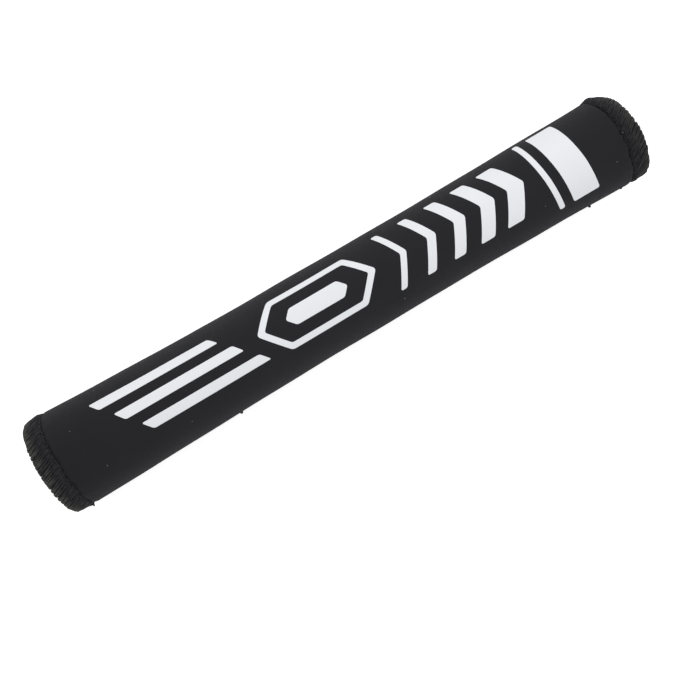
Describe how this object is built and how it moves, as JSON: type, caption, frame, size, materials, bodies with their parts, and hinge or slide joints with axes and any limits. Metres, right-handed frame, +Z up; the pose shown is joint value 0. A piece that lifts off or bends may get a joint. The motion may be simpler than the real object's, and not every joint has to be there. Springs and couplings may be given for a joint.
{
  "type": "chainstay protector",
  "caption": "Padded fabric sleeve, rolled and closed with hook and loop tape under a flap, that wraps a bicycle's chainstay and keeps the chain off its paint.",
  "frame": {"origin": "below the middle of the sleeve, on the surface it lies on", "axes": "+X along the sleeve towards its narrower end, +Z up, -Y towards the side where the flap ends"},
  "size_m": [0.25, 0.041, 0.0409],
  "materials": {
    "laminate_fabric": "matte knit",
    "hook_tape": "stiff hooks",
    "loop_tape": "soft pile",
    "overlock_thread": "ribbed thread",
    "white_print": "satin film"
  },
  "bodies": {
    "root": {"laminate_panel": "laminate_fabric", "hook_tape": "hook_tape", "loop_tape": "loop_tape", "left_end_overlock": "overlock_thread", "right_end_overlock": "overlock_thread", "flap_edge_overlock": "overlock_thread", "inner_edge_overlock": "overlock_thread", "print_end_band": "white_print", "print_end_line": "white_print", "print_chevron_1": "white_print", "print_chevron_2": "white_print", "print_chevron_3": "white_print", "print_chevron_4": "white_print", "print_chevron_5": "white_print", "print_frame": "white_print", "print_frame_bar": "white_print", "print_stripe_1": "white_print", "print_stripe_2": "white_print", "print_stripe_3": "white_print"}
  },
  "joints": []
}
